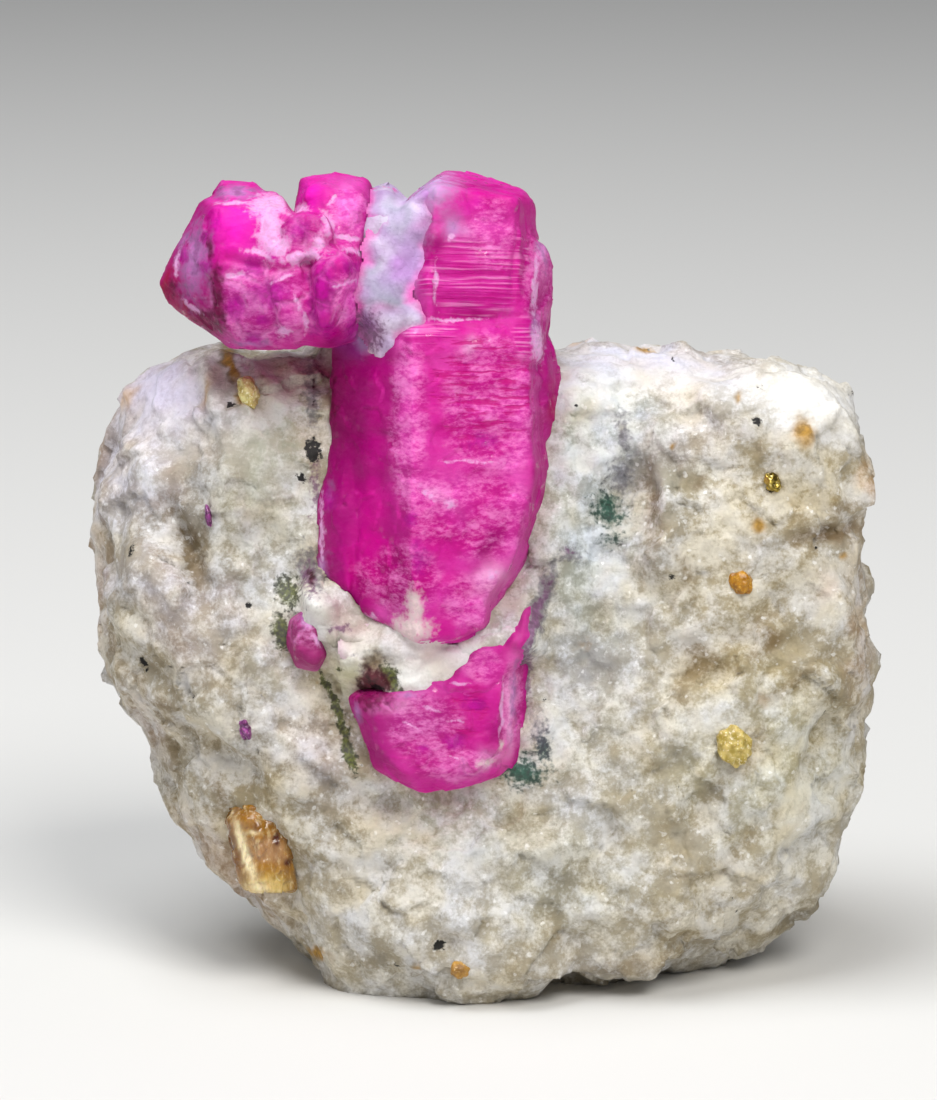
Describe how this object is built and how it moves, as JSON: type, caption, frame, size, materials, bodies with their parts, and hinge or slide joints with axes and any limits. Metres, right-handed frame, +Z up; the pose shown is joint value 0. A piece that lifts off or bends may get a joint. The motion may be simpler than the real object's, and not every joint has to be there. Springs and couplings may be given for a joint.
{
  "type": "crystal cluster on matrix",
  "caption": "Cluster of pink six-sided crystals standing in and above a rough block of white marble with small mineral grains, resting upright on a flat base.",
  "frame": {"origin": "middle of the flat base that the marble block rests on, z = 0", "axes": "+Z up; -Y towards the viewer of the show face, which leans back 12 degrees; +X to the viewer's right"},
  "size_m": [0.0474, 0.0272, 0.0484],
  "materials": {
    "marble": "rough broken white marble, sugary grain, grey, cream and lilac-white patches",
    "ruby": "translucent magenta-pink crystal, growth lines across the faces, pale veins",
    "amber_mineral": "honey-brown crystal with a paler flat face, glossy",
    "orange_mineral": "glossy orange grain",
    "ochre_mineral": "satin ochre grain",
    "yellow_mineral": "pale yellow translucent grain",
    "purple_mineral": "dark purple-pink crystal grain",
    "brassy_mineral": "dark brassy metallic grain"
  },
  "bodies": {
    "root": {"matrix": "marble", "ruby_cluster": "ruby", "lower_ruby": "ruby", "side_ruby": "ruby", "amber_crystal": "amber_mineral", "orange_grain": "orange_mineral", "oval_grain": "ochre_mineral", "yellow_grain": "yellow_mineral", "straw_grain": "yellow_mineral", "purple_grain_upper": "purple_mineral", "purple_grain_lower": "purple_mineral", "pyrite_grain": "brassy_mineral"}
  },
  "joints": []
}
